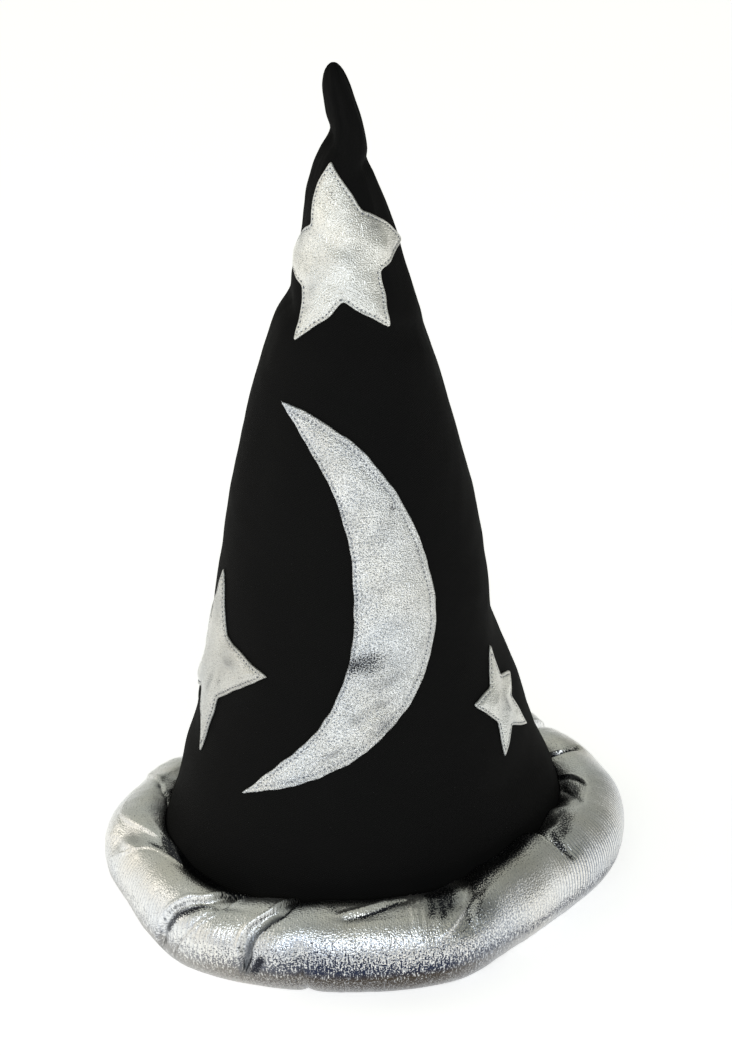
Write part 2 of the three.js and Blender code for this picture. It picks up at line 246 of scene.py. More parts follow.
class Shade:
    # A value in a node tree. Sums and products of it add Math nodes.
    def __init__(self, finish, socket):
        self.finish = finish
        self.socket = socket

    def maths(self, operation, *values):
        return self.finish.node("ShaderNodeMath", {"operation": operation}, dict(enumerate(values)))

    def __add__(self, other):
        return self.maths("ADD", self, other)

    def __radd__(self, other):
        return self.maths("ADD", other, self)

    def __sub__(self, other):
        return self.maths("SUBTRACT", self, other)

    def __rsub__(self, other):
        return self.maths("SUBTRACT", other, self)

    def __mul__(self, other):
        return self.maths("MULTIPLY", self, other)

    def __rmul__(self, other):
        return self.maths("MULTIPLY", other, self)


class Finish:
    # A material, and the one way that its nodes are made.
    def __init__(self, name, constants, owner=None, shader="Principled BSDF"):
        self.material = owner or bpy.data.materials.new(name)
        self.material.use_nodes = True
        self.tree = self.material.node_tree
        self.shader = self.tree.nodes[shader]
        for socket, value in constants.items():
            self.shader.inputs[socket].default_value = value

    def feed(self, target, value):
        if isinstance(value, Shade):
            self.tree.links.new(value.socket, target)
        else:
            target.default_value = value

    def node(self, kind, settings=None, values=None, output=0):
        made = self.tree.nodes.new(kind)
        for name, value in (settings or {}).items():
            setattr(made, name, value)
        for name, value in (values or {}).items():
            self.feed(made.inputs[name], value)
        return Shade(self, made.outputs[output])

    def surface(self, **values):
        for name, value in values.items():
            self.feed(self.shader.inputs[name.replace("_", " ")], value)
        return self.material

    def clothMap(self, scale=(1, 1, 1), rotation=(0, 0, 0)):
        flat = self.node("ShaderNodeUVMap", {"uv_map": "cloth"})
        return self.node("ShaderNodeMapping", None, {"Vector": flat, "Scale": scale, "Rotation": rotation})

    def part(self, vector, axis):
        return self.node("ShaderNodeSeparateXYZ", None, {0: vector}, output=axis)

    def noise(self, place, scale, detail=2.0, roughness=0.5):
        return self.node("ShaderNodeTexNoise", None, {
            "Vector": place, "Scale": scale, "Detail": detail, "Roughness": roughness})

    def bands(self, place, width, distortion=0.0, detail=0.0, detailScale=1.0):
        # Waves across X, whose width is in metres.
        return self.node("ShaderNodeTexWave", {"bands_direction": "X"}, {
            "Vector": place, "Scale": 2 * math.pi / (20 * width), "Distortion": distortion,
            "Detail": detail, "Detail Scale": detailScale}, output=1)

    def between(self, value, low, high):
        # 0 at low, 1 at high, and a straight run between them. High may be the smaller one.
        return self.node("ShaderNodeMapRange", {"clamp": True}, {0: value, 1: low, 2: high, 3: 0.0, 4: 1.0})

    def mix(self, factor, low, high):
        return self.node("ShaderNodeMix", {"data_type": "RGBA"}, {0: factor, 6: low, 7: high}, output=2)

    def bump(self, height, distance):
        return self.node("ShaderNodeBump", None, {"Strength": 1.0, "Distance": distance, "Height": height})


cottonLook = {
    "dark": (0.0034, 0.0034, 0.0035, 1),
    "worn": (0.0075, 0.0073, 0.0071, 1),
    "lint": (0.035, 0.035, 0.035, 1),
    "twillWidth": 0.0009,
    "twillTurn": math.radians(63),
    "yarns": 2600, "patches": 22, "fluffs": 700,     # how many to a metre
    "fluffFrom": (0.72, 0.8),
    "roughness": 0.86,
    "relief": 0.00012,
}


def blackCotton():
    finish = Finish("black_cotton_twill", {"Metallic": 0.0, "IOR": 1.45, "Specular IOR Level": 0.1})
    place = finish.clothMap()
    leaning = finish.clothMap(rotation=(0, 0, cottonLook["twillTurn"]))
    twill = finish.bands(leaning, cottonLook["twillWidth"], distortion=0.6, detail=1.0, detailScale=3.0)
    yarn = finish.noise(place, cottonLook["yarns"], detail=1.0)
    soft = finish.noise(place, cottonLook["patches"], detail=3.0, roughness=0.6)
    fluff = finish.between(finish.noise(place, cottonLook["fluffs"]), *cottonLook["fluffFrom"])
    colour = finish.mix(soft * 0.6 + twill * 0.35, cottonLook["dark"], cottonLook["worn"])
    colour = finish.mix(fluff * 0.35, colour, cottonLook["lint"])
    height = twill * 0.7 + yarn * 0.5 + soft * 2.0
    return finish.surface(Base_Color=colour, Roughness=cottonLook["roughness"] + 0.1 * yarn,
                          Normal=finish.bump(height, cottonLook["relief"]))


# Silver cloth: metal threads with dark gaps between them, which glint one by one. A name that ends in From
# holds the values of a noise at which its part starts and at which it is full.
lameLook = {
    "gap": (0.20, 0.24, 0.33, 1),
    "glint": (1, 1, 1, 1),
    # the colour of the painted shade in creases, beside the crown and in shadow spots
    "crease": (0.025, 0.027, 0.036, 1),
    # the colour of broad painted shade
    "shadeAndTone": (0.12, 0.13, 0.145, 1),
    "roughness": 0.275,
    "relief": 0.001,
    "ribStretch": 0.5, "streakStretch": 0.28,     # how much longer than wide
    "patches": 26,
    "coolFrom": (0.35, 0.65),
    "glintFrom": (0.45, 0.33),
    "gapFrom": (0.53, 0.67),
    "lowGapFrom": (0.46, 0.58),
    "ribGapFrom": (0.35, 0.1),
    "creaseFrom": (0.2, 0.6), "creaseRagged": 1.3,
}

rollLook = {
    "warm": (0.93, 0.905, 0.85, 1), "cool": (0.87, 0.885, 0.90, 1), "metal": 1.0,
    "grain": 0.00068, "ribWidth": 0.0021, "ribDepth": 0.24, "streakDepth": 0.28, "grainDepth": 0.19,
    "gaps": 0.22, "glints": 0.2,
    # Painted shade: more of the dark gaps show in front, below these turns and within these bearings.
    "frontShadeGaps": 0.6, "lowTurns": (54, 36), "lowBearings": (-24, -12, 34, 52),
    # The ribs show below these turns, and most of all between these bearings.
    "ribTurns": (66, 28), "ribGaps": 0.95, "ribBearings": (48, 62, 98, 112), "ribsElsewhere": 0.22,
}

moonLook = {
    "warm": (0.99, 0.975, 0.93, 1), "cool": (0.90, 0.94, 0.985, 1), "metal": 0.6,
    "grain": 0.0006, "ribWidth": 0.0009, "ribDepth": 0.02, "streakDepth": 0.02, "grainDepth": 0.75,
    "gaps": 0.8, "glints": 1.0,
    "warmSide": (-0.012, 0.022), "quieter": 0.5,     # warmer and smoother from left to right
}

starLook = {
    **moonLook, "warm": (0.92, 0.90, 0.83, 1), "cool": (0.87, 0.88, 0.86, 1),
    "gaps": 0.2, "glints": 0.5, "grainDepth": 0.45, "quieter": 0.0,
}

# Painted shade on the roll's underside: a dull brownish colour standing in for the dark it reflects, most of
# all in front.
rollUnderShade = {
    "colour": (0.060, 0.047, 0.036, 1),
    "edge": (0.025, 0.032, 0.062, 1), "edgeTurns": (-15, -4),
    "strength": 0.66,
    "turns": (-8, 1),                         # full below the first, none above the second
    "lifted": 0.42, "liftedTurns": (-32, -56),     # less of it lower down
    "ragged": (46, 84), "spread": 14,
    # where it is stronger or weaker: bearing, reach to either side, strength, how many degrees higher
    "places": [
        (2, 26, 1.0, 17),
        (9, 4, 0.8, -14),
        (78, 50, 0.42, -4),
    ],
    # The last of those places has a darker, bluish line painted where its painted shade starts.
    "line": (-19, -14, -9, -4), "lineStrength": 0.95, "lineRagged": 30,
    "sparkle": 0.85, "sparkleTurns": (-34, -10), "sparkleFrom": (0.56, 0.64),
}


def rollPlace(finish):
    # The bearing and the turn of each place on the roll, from its map.
    flat = finish.node("ShaderNodeUVMap", {"uv_map": "cloth"})
    perDegree = (math.radians(rollShape["meanReach"]) * toMetres, rollShape["mmPerTurn"] * toMetres)
    return [finish.part(flat, axis) * (1 / perDegree[axis]) for axis in range(2)]


def rollStretch(finish, value, start, full, less, end):
    # 1 within a stretch of the roll, with a run at either end of it.
    return finish.between(value, start, full) * finish.between(value, end, less)


def paintUnderShade(finish, underShade, unshaded, streak, grain):
    # The unshaded colour, and the painted shade on the underside with an edge that the grain breaks up.
    bearing, turn = rollPlace(finish)
    colour = finish.mix(finish.between(turn, *underShade["edgeTurns"]), underShade["colour"], underShade["edge"])
    strength = underShade["strength"]
    for middle, reach, shown, higher in underShade["places"]:
        away = finish.node("ShaderNodeMath", {"operation": "ABSOLUTE"}, {0: bearing - middle})
        there = finish.between(away, reach + underShade["spread"], reach - underShade["spread"])
        strength = strength + (shown - underShade["strength"]) * there
        turn = turn - higher * there
    line = rollStretch(finish, turn + (grain - 0.5) * underShade["lineRagged"], *underShade["line"]) * there
    colour = finish.mix(line, colour, underShade["edge"])
    strength = strength + (underShade["lineStrength"] * (1 - strength)) * line
    byStreak, byGrain = underShade["ragged"]
    turn = turn + (streak - 0.5) * byStreak + (grain - 0.5) * byGrain
    deep, high = underShade["turns"]
    lifted = underShade["lifted"] * finish.between(turn, *underShade["liftedTurns"])
    depth = finish.between(turn, high, deep) * (1 - lifted)
    sparkle = finish.between(streak, *underShade["sparkleFrom"]) * finish.between(turn, *underShade["sparkleTurns"])
    return finish.mix(depth * strength * (1 - underShade["sparkle"] * sparkle), unshaded, colour)


def rollRibs(finish, look, colour, rib, fleck):
    # The roll's painted shade low in front, as more dark gaps, and its ribs. Also gives how much the ribs
    # stand out.
    bearing, turn = rollPlace(finish)
    low = rollStretch(finish, bearing, *look["lowBearings"]) * finish.between(turn, *look["lowTurns"])
    frontShadeGap = finish.between(fleck, *lameLook["lowGapFrom"]) * (low * look["frontShadeGaps"])
    colour = finish.mix(frontShadeGap, colour, lameLook["gap"])
    ribbed = rollStretch(finish, bearing, *look["ribBearings"])
    shown = look["ribsElsewhere"] + (1 - look["ribsElsewhere"]) * ribbed
    shown = finish.between(turn, *look["ribTurns"]) * shown
    ribGap = finish.between(rib, *lameLook["ribGapFrom"]) * shown * look["ribGaps"]
    return finish.mix(ribGap, colour, lameLook["gap"]), rib * shown


def silverLame(name, look, underShade=None):
    finish = Finish(name, {"IOR": 1.5})
    place = finish.clothMap()
    ribPlace = finish.clothMap(scale=(1, lameLook["ribStretch"], 1))
    rib = finish.bands(ribPlace, look["ribWidth"], distortion=2.2, detail=2.0, detailScale=0.35)
    streakPlace = finish.clothMap(scale=(1, lameLook["streakStretch"], 1))
    streak = finish.noise(streakPlace, 0.9 / look["grain"], detail=1.0)
    grain = finish.noise(place, 1 / look["grain"], detail=0.0)
    fleck = finish.noise(place, 0.8 / look["grain"], detail=1.0)
    patch = finish.noise(place, lameLook["patches"])
    cool, gaps = finish.between(patch, *lameLook["coolFrom"]), look["gaps"]
    if "warmSide" in look:
        onRight = finish.between(finish.part(place, 0), *look["warmSide"])
        cool = cool * (1 - 0.8 * onRight)
        gaps = gaps * (1 - look["quieter"] * onRight)
    colour = finish.mix(cool, look["warm"], look["cool"])
    glint = finish.between(fleck, *lameLook["glintFrom"]) * look["glints"]
    colour = finish.mix(glint, colour, lameLook["glint"])
    gap = finish.between(fleck, *lameLook["gapFrom"]) * gaps
    colour = finish.mix(gap, colour, lameLook["gap"])
    # The roll's ribs, and its painted shade: more dark gaps low in front and a dark underside.
    if underShade:
        colour, rib = rollRibs(finish, look, colour, rib, fleck)
        colour = paintUnderShade(finish, underShade, colour, streak, grain)
    # Painted shade from the piece's layers: crease darkens creases, the roll beside the crown and the shapes'
    # shadow spots; the other layer darkens broadly.
    shadeAndTone, crease = (finish.node("ShaderNodeAttribute", {"attribute_name": kind}, output=2)
                    for kind in ("shadeAndTone", "crease"))
    colour = finish.mix(shadeAndTone, colour, lameLook["shadeAndTone"])
    crease = crease + (grain - 0.5) * lameLook["creaseRagged"]
    colour = finish.mix(finish.between(crease, *lameLook["creaseFrom"]), colour, lameLook["crease"])
    height = rib * look["ribDepth"] * (0.3 + patch)
    height = height + streak * look["streakDepth"] + grain * look["grainDepth"]
    return finish.surface(Base_Color=colour, Metallic=look["metal"] - 0.4 * gap,
                          Roughness=lameLook["roughness"] + 0.06 * grain,
                          Normal=finish.bump(height, lameLook["relief"]))


threadLook = {
    "dark": (0.07, 0.08, 0.11, 1),
    "light": (0.22, 0.24, 0.30, 1),
    "twists": 3000,      # to a metre
    "roughness": 0.7,
    "relief": 0.00008,
}


def stitchThread():
    finish = Finish("grey_thread", {
        "Metallic": 0.0, "Roughness": threadLook["roughness"], "Specular IOR Level": 0.3})
    place = finish.node("ShaderNodeTexCoord", output=3)
    twist = finish.noise(place, threadLook["twists"], detail=1.0)
    return finish.surface(Base_Color=finish.mix(twist, threadLook["dark"], threadLook["light"]),
                          Normal=finish.bump(twist, threadLook["relief"]))


def crownRows():
    # Height, lift and size of each ring, from the top of the hollow down the inside, round the hem's
    # folded edge, and up the outside to the peak.
    wall, top, peak = crownShape["cloth"], crownShape["hollowTop"], crownShape["sections"][-1][0]
    fold = wall / 2
    hem = crownShape["sections"][0][0] + fold
    inside = np.arange(top, hem, -crownShape["insideStep"])
    rows = [(top, -wall, 0.0)] + [(height, -wall, 1.0) for height in inside]
    for angle in np.linspace(-math.pi / 2, math.pi / 2, crownShape["edgeRows"]):
        rows.append((hem - fold * math.cos(angle), fold * math.sin(angle) - fold, 1.0))
    outside = np.arange(hem + crownShape["rowStep"], peak - 1, crownShape["rowStep"])
    rows += [(height, 0.0, 1.0) for height in outside]
    rows += [(peak - 0.6, 0.0, 1.0), (peak - 0.15, 0.0, 0.6), (peak, 0.0, 0.0)]
    return np.array(rows)


def makeCrown(material):
    rows = crownRows()
    sheet = flatSheet(crownShape["around"], len(rows) - 1)
    places = sheetPlaces(sheet)
    bearing = 360 * places[:, 0] - 180
    row = rows[np.rint(places[:, 1] * (len(rows) - 1)).astype(int)]
    height, lift, size = row[:, 0], row[:, 1], row[:, 2]
    points = crownPoint(bearing, height, lift + clothCreases(bearing, height), size)
    slope = math.radians(crownShape["slope"])
    fromApex = (crownShape["apex"] - height) / math.cos(slope) * toMetres
    fan = np.radians(bearing) * math.sin(slope)
    setMap(sheet, np.stack([fromApex * np.sin(fan), -fromApex * np.cos(fan)], axis=-1))
    moveTo(sheet, points)
    bmesh.ops.remove_doubles(sheet, verts=sheet.verts, dist=0.01)
    bmesh.ops.recalc_face_normals(sheet, faces=sheet.faces)
    return finishPiece(sheet, "crown_cloth", material, ["crown"])


rollShape = {
    "around": 960,
    "section": 44.0,     # how wide the roll is
    "sag": 2.0,          # how much of its height is pressed flat on the floor
    "seamGap": 0.4,
    "sectionSteps": 104,
    # The section's points lie closer where the folds are: shares of the way round, and their turns.
    "shares": (0, 0.10, 0.82, 1),
    "turns": (-90, -30, 128, 270),
    "meanReach": 118.0,
    "mmPerTurn": 0.34,     # how far it is along the section for each degree of turn
    # bearing, reach from the hat's axis, top
    "sections": [
        (-180, 127, 42), (-160, 121, 41), (-140, 115, 40), (-120, 110, 38), (-100, 117.5, 39),
        (-80, 128.2, 41), (-60, 128.3, 40), (-40, 136, 40), (-20, 131, 41), (0, 127, 42),
        (20, 125.5, 43), (40, 116, 46), (60, 117, 46), (80, 124.5, 42), (100, 127.6, 42),
        (120, 125, 42), (140, 126, 42), (160, 128, 42),
    ],
    # A fold runs through places given by turn and bearing. Distances across it are in millimetres, to the
    # left below 0. It may have a crease (depth, how far it opens to the left and to the right), a rim
    # (where, width, height), a strip that lies lower (from, to, depth), a ramp (from, to, height, how
    # far beyond it drops) and a broad valley (depth). A strip and its rim may taper between two turns.
    # A fold may also lie within two bearings.
    "folds": [
        # left of the middle
        {"run": [(-24, -25), (-3, -23.5), (11, -23), (21, -23), (33, -22.5), (44, -21.5), (55, -20),
                 (70, -18), (83, -17), (110, -15.5), (140, -14)],
         "strip": (-5.0, 0, 2.0), "rim": (-6.0, 1.5, 1.0), "valley": 1.2, "fade": 8, "taper": (-26, 22)},
        {"run": [(-25, -45.5), (-10, -45), (13, -44), (31, -43), (46, -41.5), (61, -39), (72, -36),
                 (92, -34), (125, -31)],
         "crease": (3.8, 0.8, 5), "rim": (-1.9, 1.5, 1.2), "valley": 0.6},
        {"run": [(-20, -40.5), (-6, -39.5), (12, -38), (28, -36.5), (44, -35), (58, -33), (78, -31),
                 (100, -29), (130, -27)],
         "crease": (2.6, 3.5, 0.7), "rim": (1.7, 1.2, 1.1), "valley": 0.8},
        # the left side
        {"run": [(30, -69.5), (42, -67.3), (54, -65.8), (65, -64), (74, -61.5), (81, -58), (92, -52)],
         "crease": (1.6, 2.4, 0.8), "rim": (1.6, 1.3, 1.4), "fade": 7},
        {"run": [(20, -72.5), (35, -73), (50, -73), (65, -69.5), (78, -65.5), (92, -60)],
         "valley": 2.6, "valleyWidth": 11},
        {"run": [(52, -81), (58, -78), (66, -75), (78, -71), (88, -67)],
         "ramp": (-5, 0.5, 0.9, 1.5), "fade": 9},
        {"run": [(22, -77.5), (30, -76.5), (42, -74.5)], "crease": (-0.6, 1.5, 2), "fade": 6},
        {"run": [(44, -103.5), (54, -101), (68, -98.5), (84, -95.5), (100, -92)],
         "ramp": (-8, 1.2, 1.6, 3), "valley": -0.4},
        {"run": [(84, -93), (99, -89), (111, -87), (119, -84.5), (135, -82)],
         "crease": (3.2, 6, 1.2), "fade": 8},
        {"run": [(30, -121), (78, -112.5), (103, -105), (140, -99)],
         "crease": (3.5, 6, 2), "rim": (2.6, 2.4, 0.8), "valley": 2},
        # in front
        {"run": [(59, -4), (63, -1.5), (68, 1.5), (74, 4.5), (80, 7), (90, 10.5)],
         "ramp": (-0.8, -4, 1.25, 3.5), "crease": (1.0, 0.7, 5), "fade": 7, "within": (-6, 12)},
        {"run": [(48, 10.3), (58, 10.5), (73, 10.5), (88, 11), (115, 12)], "crease": (-0.9, 0.7, 0.7)},
        {"run": [(50, 11.4), (60, 11.5), (72, 11.7), (88, 12.5), (115, 14)], "crease": (-1.0, 0.6, 0.6)},
        {"run": [(50, 12.8), (60, 13), (71, 13.2), (84, 13.8), (110, 15)], "crease": (-0.9, 0.6, 0.9)},
        {"run": [(30, 16), (41, 18.5), (52, 21.5), (62, 24), (80, 25.5)],
         "rim": (0, 2.8, 1.1), "fade": 10},
        {"run": [(33, 22.8), (40, 22.6), (49, 23), (60, 24), (70, 26.5), (90, 28), (120, 30)],
         "crease": (1.0, 1.8, 1.2), "valley": 1.6, "fade": 14},
        # the right side
        {"run": [(40, 58.3), (50, 57.3), (66, 56.8), (80, 56.8), (110, 57.6), (140, 59)],
         "crease": (4.2, 0.6, 4.5), "rim": (-1.6, 1.6, 1.0), "valley": 0.8, "fade": 10},
        {"run": [(82, 90), (93, 93.5), (106, 97), (118, 99), (130, 101)],
         "crease": (1.6, 4, 1.0), "rim": (1.4, 1.0, 0.5), "fade": 7},
        {"run": [(82, 80), (94, 84), (108, 88.5), (124, 93)], "crease": (1.4, 1.5, 4), "fade": 9},
        {"run": [(62, 110.5), (75, 109.5), (88, 109), (100, 109.5), (111, 110.5), (130, 112)],
         "crease": (3.4, 1.2, 1.8), "rim": (2.3, 1.4, 0.6), "fade": 7},
        # the back
        {"run": [(-20, 132), (30, 129), (90, 127), (155, 124)],
         "crease": (4.5, 5, 1.0), "rim": (2.2, 1.8, 0.9), "valley": 2},
        {"run": [(-10, 141), (40, 144), (90, 149), (155, 154)],
         "crease": (4.5, 1.0, 7), "rim": (-2.2, 1.8, 1.0), "valley": 2},
        {"run": [(30, 160), (60, 163), (95, 165), (130, 166)], "ramp": (-5, -0.6, 1.8, 1.2), "fade": 12},
        {"run": [(-40, 184), (20, 179), (90, 172), (155, 167)],
         "crease": (4.5, 7, 1.0), "rim": (2.2, 1.8, 0.9), "valley": 2},
        {"run": [(-20, -151), (40, -157), (90, -163), (155, -168)],
         "crease": (4.5, 1.2, 6), "rim": (-2.2, 1.8, 0.8), "valley": 2},
        {"run": [(-30, -149), (40, -143), (90, -139), (155, -134)],
         "strip": (-4, -0.2, 2.0), "rim": (-5.4, 1.6, 1.0), "valley": 1.5},
        # underneath, in front
        {"run": [(-75, -12.5), (-23, -13), (15, -13.5), (30, -14)],
         "crease": (2.0, 1.2, 1.6), "valley": 0.4},
    ],
    # hollows and puffs: bearing, turn, degrees to either side, degrees of turn, how far pushed in
    "dents": [
        (64, 108, 7, 36, 3.5),
        (75, 116, 8, 26, -2.5),
        (-52, 55, 9, 60, -1.2),
        (-32, 30, 6, 60, -1.0),
        (40, 95, 17, 28, 3.0),
        (40, 52, 16, 25, -1.5),
        (-44, 104, 16, 22, 1.6),
        (17, 20, 20, 40, -0.5),
    ],
    # Painted shade at the bottom of creases: places by turn and bearing, width, strength.
    "shadows": [
        ([(40, -21.8), (52, -20.3), (64, -18), (73, -17), (90, -16)], 1.0, 0.8),
        ([(-17, -22.8), (1, -21.4), (11, -20.8)], 2.4, 0.8),
        ([(6, -43), (23, -41.8), (37, -40.6), (51, -38.2), (66, -35.8)], 2.6, 0.75),
        ([(70, -65.5), (78, -62.5), (84, -59)], 1.3, 0.75),
        ([(98, -90), (106, -88.3), (116, -85.5)], 1.0, 0.6),
        ([(60, -3.7), (63, -1.7), (68, 1.3), (74, 4.3), (80, 6.8), (86, 9)], 1.2, 0.8),
        ([(68, -5.5), (77, -7.5), (86, -9)], 2.2, 0.45),
        ([(54, 14.6), (66, 15.2), (90, 15.8)], 3.2, 0.58),
        ([(50, 17.0), (62, 17.6), (90, 18.2)], 3.4, 0.64),
        ([(58, 19.2), (68, 19.8), (90, 20.4)], 3.4, 0.62),
        ([(34, 23.2), (48, 23.2), (57, 24.6), (66, 27), (76, 29)], 2.2, 0.52),
        ([(34, 25.8), (46, 26), (57, 27.6), (68, 30)], 3.2, 0.42),
        ([(27, 19), (31, 21), (34, 23)], 0.8, 0.5),
        ([(34, 58.4), (45, 57.9), (59, 57.1), (74, 57), (96, 57.8)], 2.4, 0.95),
        ([(40, 58.6), (51, 58.6), (63, 59), (79, 61)], 3.2, 0.66),
        ([(60, 61.5), (72, 64.5), (82, 68.5), (92, 71.5), (102, 74.5)], 5.2, 0.6),
        ([(92, 71), (106, 76), (122, 80)], 4.0, 0.5),
        ([(82, 81), (94, 85), (108, 89)], 1.6, 0.5),
        ([(82, 90), (93, 93.5), (106, 96.5)], 0.9, 0.6),
        ([(90, 88), (100, 91)], 3.5, 0.42),
        ([(62, 110.5), (75, 109.5), (88, 109), (100, 109.5), (111, 110.5), (122, 111.5)], 1.9, 0.75),
    ],
    # where painted shade makes the cover darker, broad and smooth: the same words as the shadows
    "paintedShadeRuns": [
        ([(-20, -24.6), (-3, -24.2), (14, -23.9), (27, -23.7), (40, -22.6), (52, -21), (70, -18.6)],
         3.6, 0.95),
    ],
    # and the same words as the dents, with a strength last
    "paintedShadePatches": [
        (-4, 61, 7, 8, 0.62),
        (-8, 52, 13, 15, 0.3),
        (8, 48, 12, 14, 0.2),
        (17.5, 68, 8.5, 24, 0.75),
        (28, 44, 5, 18, 0.5),
        (40, 40, 13, 24, 0.28),
        (42, 60, 13, 18, 0.25),
        (-70, 58, 9, 14, 0.25),
    ],
    # painted shade beside the crown, where the cover would reflect the black crown: bearing, dark up to so
    # far from the crown, light from, strength
    "beside": [
        (-180, 1, 6, 0.6), (-130, 1, 6, 0.6), (-112, 0, 3, 0.3), (-92, 0, 4, 0.4), (-82, 0, 4, 0.4),
        (-72, 1, 5, 0.5), (-63, 4, 6.5, 0.7), (-58, 5, 8, 0.8), (-55, 6, 9, 0.8), (-49, 5, 15, 0.8),
        (-43, 8, 20, 0.8), (-39, 9, 22, 0.75), (-35, 8, 20, 0.7), (-31, 9, 17, 0.6),
        (-28, 6, 12, 0.25), (-24, 6, 12, 0.2), (-20, 8, 13, 0.3), (-15, 12, 18, 0.65), (-6, 9, 15, 0.6),
        (3, 10, 15, 0.6), (9, 8, 14, 0.4), (12, 6, 12, 0.2), (15, 14, 21, 0.6), (20, 17, 27, 0.66),
        (24, 11, 18, 0.42), (27, 14, 24, 0.6), (30, 14, 23, 0.65), (36, 11, 20, 0.65), (42, 9, 18, 0.65),
        (48, 8, 17, 0.65), (54, 7, 16, 0.65), (58, 8, 14, 0.6), (64, 9, 13, 0.5), (70, 7, 11, 0.42),
        (76, 5, 9, 0.42), (82, 6, 10, 0.5), (85, 9, 14, 0.65), (90, 9, 14, 0.6), (95, 4, 9, 0.6),
        (101, 2, 6, 0.55), (107, 0, 3, 0.5), (112, 0, 2.5, 0.4), (122, 0, 3, 0.4), (150, 1, 6, 0.6),
    ],
    "tuck": 3.0,          # how far the cover is drawn in beside the crown, between two turns
    "tuckFrom": (78, 120),
    "fade": 14,           # degrees of turn in which a fold starts or ends, unless it says so itself
    "shadowFade": 6,
    "valleyWidth": 10.0,
    # the unevenness of the cover, and of its gathers beside the crown: how high, how much flatter round
    # the section, size, seed
    "waves": [(0.08, 0.35, 9, 11), (0.35, 0.5, 30, 12)],
    "seamWaves": [(0.22, 0.15, 7, 13)],
}


def runAcross(run, bearing, turn, fade):
    # The distance across a run of places, and how much of what runs there shows at each turn.
    turns, bearings = zip(*run)
    perBearing, perTurn = math.radians(rollShape["meanReach"]), rollShape["mmPerTurn"]
    middle = smoothCurve(turn, turns, bearings)
    lean = (smoothCurve(turn + 2, turns, bearings) - smoothCurve(turn - 2, turns, bearings)) / 4
    across = angleBetween(middle, bearing) * perBearing / np.sqrt(1 + (lean * perBearing / perTurn) ** 2)
    shown = smoothStep(turn, turns[0] - fade, turns[0] + fade)
    return across, shown * (1 - smoothStep(turn, turns[-1] - fade, turns[-1] + fade))


def foldProfile(fold, across, narrow):
    # How high a fold is at each distance across it.
    profile = -fold.get("valley", 0) * bell(across / fold.get("valleyWidth", rollShape["valleyWidth"]))
    if "crease" in fold:
        deep, left, right = fold["crease"]
        profile = profile - deep * np.exp(-np.abs(across) / np.where(across < 0, left, right))
    if "rim" in fold:
        at, width, high = fold["rim"]
        profile = profile + high * bell((across - at * narrow) / width)
    if "strip" in fold:
        start, end, deep = fold["strip"]
        start = start * narrow
        profile = profile - deep * (smoothStep(across, start - 0.9, start + 0.6)
                                    - smoothStep(across, end - 0.4, end + 0.4))
    if "ramp" in fold:
        start, end, high, drop = fold["ramp"]
        rising = np.clip((across - start) / (end - start), 0, 1)
        beyond = (across - end) * np.sign(end - start)
        profile = profile + high * rising * (1 - smoothStep(beyond, 0, drop))
    return profile


def foldHeight(bearing, turn):
    # How far folds lift the roll's cover off its plain section.
    height = -rollShape["tuck"] * smoothStep(turn, *rollShape["tuckFrom"])
    for fold in rollShape["folds"]:
        narrow = 0.15 + 0.85 * smoothStep(turn, *fold["taper"]) if "taper" in fold else 1.0
        across, shown = runAcross(fold["run"], bearing, turn, fold.get("fade", rollShape["fade"]))
        if "within" in fold:
            left, right = fold["within"]
            shown = shown * smoothStep(bearing, left - 2, left + 2)
            shown = shown * (1 - smoothStep(bearing, right - 2, right + 2))
        height = height + foldProfile(fold, across, narrow) * shown
    for middle, level, reach, tall, deep in rollShape["dents"]:
        height = height - deep * bell(angleBetween(middle, bearing) / reach) * bell((turn - level) / tall)
    return height


def paintedCreaseShade(bearing, turn, fromSeam):
    # Painted shade: how dark the cover is in its creases and beside the crown, from 0 to 1.
    rows = np.array(rollShape["beside"])
    deep, end, strength = (np.interp(bearing, rows[:, 0], rows[:, column], period=360)
                           for column in (1, 2, 3))
    dark = strength * (1 - smoothStep(fromSeam, deep, end))
    for run, width, strength in rollShape["shadows"]:
        across, shown = runAcross(run, bearing, turn, rollShape["shadowFade"])
        dark = np.maximum(dark, strength * bell(across / (1.4 * width)) * shown)
    return np.clip(dark, 0, 1)


def coverPaintedShade(bearing, turn):
    # Broad, smooth painted shade on the cover, from 0 to 1.
    shadeAndTone = np.zeros_like(bearing)
    for run, width, strength in rollShape["paintedShadeRuns"]:
        across, shown = runAcross(run, bearing, turn, rollShape["shadowFade"])
        shadeAndTone = np.maximum(shadeAndTone, strength * bell(across / width) * shown)
    for middle, level, reach, tall, strength in rollShape["paintedShadePatches"]:
        there = bell(angleBetween(middle, bearing) / reach) * bell((turn - level) / tall)
        shadeAndTone = np.maximum(shadeAndTone, strength * there)
    return shadeAndTone


